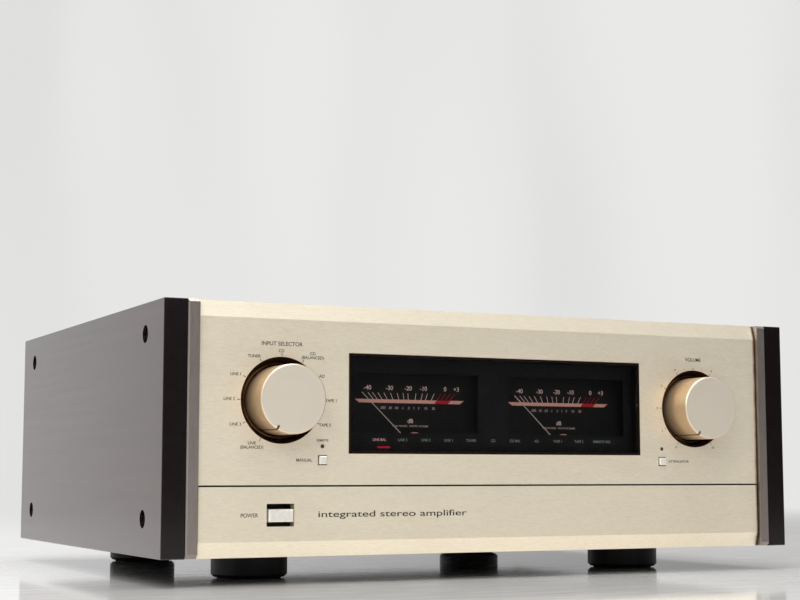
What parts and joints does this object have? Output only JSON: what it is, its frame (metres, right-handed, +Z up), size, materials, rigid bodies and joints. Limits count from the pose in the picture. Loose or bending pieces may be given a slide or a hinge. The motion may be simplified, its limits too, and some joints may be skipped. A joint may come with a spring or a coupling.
{
  "type": "integrated amplifier",
  "caption": "Integrated amplifier with champagne fascia, wooden sides, needle meters behind a dark window, large knobs in dished rings and a drop-down flap.",
  "frame": {"origin": "on the floor under the middle of the whole amplifier, knobs and rear terminals included", "axes": "+X to the right as seen by the listener in front, +Y to the rear, +Z up"},
  "size_m": [0.475, 0.422, 0.1778],
  "materials": {
    "wood": "dark reddish-brown lacquered veneer, satin gloss",
    "black_screws": "black oxide",
    "grey_trim": "grey anodised, fine grain",
    "chassis_steel": "dark grey coated steel",
    "cover_paint": "fine textured dark bronze-grey paint",
    "rear_paint": "satin near-black paint",
    "plated_steel": "bright zinc plate",
    "foot_plastic": "black moulded, satin gloss",
    "foot_rubber": "black rubber",
    "champagne": "champagne anodised with horizontal brushed grain",
    "bronze_dish": "polished dark bronze anodised",
    "bronze_rim": "bronze anodised",
    "knob_metal": "champagne anodised, turned face",
    "button_metal": "satin silver",
    "switch_plastic": "black phenolic",
    "jack_plastic": "black moulded",
    "lamp_guide": "dark red light guide",
    "source_light": "red light bar",
    "window_tint": "dark tinted pane, polished",
    "mask_black": "matt black",
    "dial_black": "matt black dial",
    "movement_steel": "plain steel",
    "needle_paint": "salmon painted pointer",
    "gold_plate": "gold plated",
    "nickel_plate": "nickel plated",
    "transformer_iron": "varnished winding",
    "capacitor_can": "dark sleeved can",
    "heatsink_black": "black anodised",
    "device_plastic": "black moulded",
    "circuit_board": "green solder mask"
  },
  "bodies": {
    "case": {"wood_side_left": "wood", "wood_side_right": "wood", "wood_side_screws": "black_screws", "side_pillars": "grey_trim", "side_frames": "chassis_steel", "base_plate": "chassis_steel", "front_chassis": "chassis_steel", "top_cover": "cover_paint", "rear_panel": "rear_paint", "case_screws": "plated_steel", "foot_screws": "plated_steel", "panel_standoffs": "plated_steel", "flap_hinge_pins": "plated_steel", "small_controls": "plated_steel", "feet": "foot_plastic", "foot_pads": "foot_rubber", "front_panel": "champagne", "dish_rings": "bronze_dish", "window_frame": "bronze_rim", "input_selector_switch": "switch_plastic", "volume_potentiometer": "switch_plastic", "button_switches": "switch_plastic", "power_switch": "switch_plastic", "headphone_jack": "jack_plastic", "terminal_plate": "jack_plastic", "mains_inlet": "jack_plastic", "status_leds": "lamp_guide", "source_lamps": "source_light", "window_glass": "window_tint", "meter_mask": "mask_black", "meter_housing": "mask_black", "meter_scale_plates": "dial_black", "meter_movements": "movement_steel", "rca_jacks": "gold_plate", "speaker_terminals": "gold_plate", "terminal_nuts": "gold_plate", "balanced_sockets": "nickel_plate", "transformer": "transformer_iron", "filter_capacitors": "capacitor_can", "heatsinks": "heatsink_black", "output_transistors": "device_plastic", "power_amp_boards": "circuit_board", "input_board": "circuit_board"},
    "input_selector": {"input_knob": "knob_metal", "input_shaft": "plated_steel"},
    "volume_control": {"volume_knob": "knob_metal", "volume_shaft": "plated_steel"},
    "flap": {"front_flap": "champagne"},
    "power_push": {"power_button": "button_metal"},
    "manual_push": {"manual_button": "button_metal"},
    "attenuator_push": {"attenuator_button": "button_metal"},
    "tone_push": {"tone_button": "button_metal"},
    "mono_push": {"mono_button": "button_metal"},
    "needle_left": {"meter_needle_left": "needle_paint"},
    "needle_right": {"meter_needle_right": "needle_paint"},
    "speaker_control": {"speaker_knob": "knob_metal"},
    "bass_control": {"bass_knob": "knob_metal"},
    "treble_control": {"treble_knob": "knob_metal"},
    "balance_control": {"balance_knob": "knob_metal"}
  },
  "joints": [
    {"name": "input_turn", "type": "hinge", "parent": "case", "child": "input_selector", "pos_m": [-0.159, -0.1904, 0.1158], "axis": [0, 1, 0], "range_deg": [0, 270]},
    {"name": "volume_turn", "type": "hinge", "parent": "case", "child": "volume_control", "pos_m": [0.159, -0.1904, 0.1158], "axis": [0, 1, 0], "range_deg": [0, 300]},
    {"name": "flap_fold", "type": "hinge", "parent": "case", "child": "flap", "pos_m": [0, -0.1864, 0.0224], "axis": [1, 0, 0], "range_deg": [0, 90]},
    {"name": "power_press", "type": "slide", "parent": "case", "child": "power_push", "axis": [0, 1, 0], "range_m": [0, 0.003], "stiffness_N_per_m": 300, "springref_m": -0.003},
    {"name": "manual_press", "type": "slide", "parent": "case", "child": "manual_push", "axis": [0, 1, 0], "range_m": [0, 0.0018], "stiffness_N_per_m": 200, "springref_m": -0.002},
    {"name": "attenuator_press", "type": "slide", "parent": "case", "child": "attenuator_push", "axis": [0, 1, 0], "range_m": [0, 0.0018], "stiffness_N_per_m": 200, "springref_m": -0.002},
    {"name": "tone_press", "type": "slide", "parent": "case", "child": "tone_push", "axis": [0, 1, 0], "range_m": [0, 0.0018], "stiffness_N_per_m": 200, "springref_m": -0.002},
    {"name": "mono_press", "type": "slide", "parent": "case", "child": "mono_push", "axis": [0, 1, 0], "range_m": [0, 0.0018], "stiffness_N_per_m": 200, "springref_m": -0.002},
    {"name": "needle_left_swing", "type": "hinge", "parent": "case", "child": "needle_left", "pos_m": [-0.0581, -0.1707, 0.0888], "axis": [0, 1, 0], "range_deg": [0, 92], "stiffness_Nm_per_rad": 0.0004, "springref_deg": -11.46},
    {"name": "needle_right_swing", "type": "hinge", "parent": "case", "child": "needle_right", "pos_m": [0.0581, -0.1707, 0.0888], "axis": [0, 1, 0], "range_deg": [0, 92], "stiffness_Nm_per_rad": 0.0004, "springref_deg": -11.46},
    {"name": "speaker_turn", "type": "hinge", "parent": "case", "child": "speaker_control", "pos_m": [-0.112, -0.1744, 0.0404], "axis": [0, 1, 0], "range_deg": [-30, 60]},
    {"name": "bass_turn", "type": "hinge", "parent": "case", "child": "bass_control", "pos_m": [-0.062, -0.1744, 0.0404], "axis": [0, 1, 0], "range_deg": [-140, 140]},
    {"name": "treble_turn", "type": "hinge", "parent": "case", "child": "treble_control", "pos_m": [-0.022, -0.1744, 0.0404], "axis": [0, 1, 0], "range_deg": [-140, 140]},
    {"name": "balance_turn", "type": "hinge", "parent": "case", "child": "balance_control", "pos_m": [0.018, -0.1744, 0.0404], "axis": [0, 1, 0], "range_deg": [-140, 140]}
  ]
}
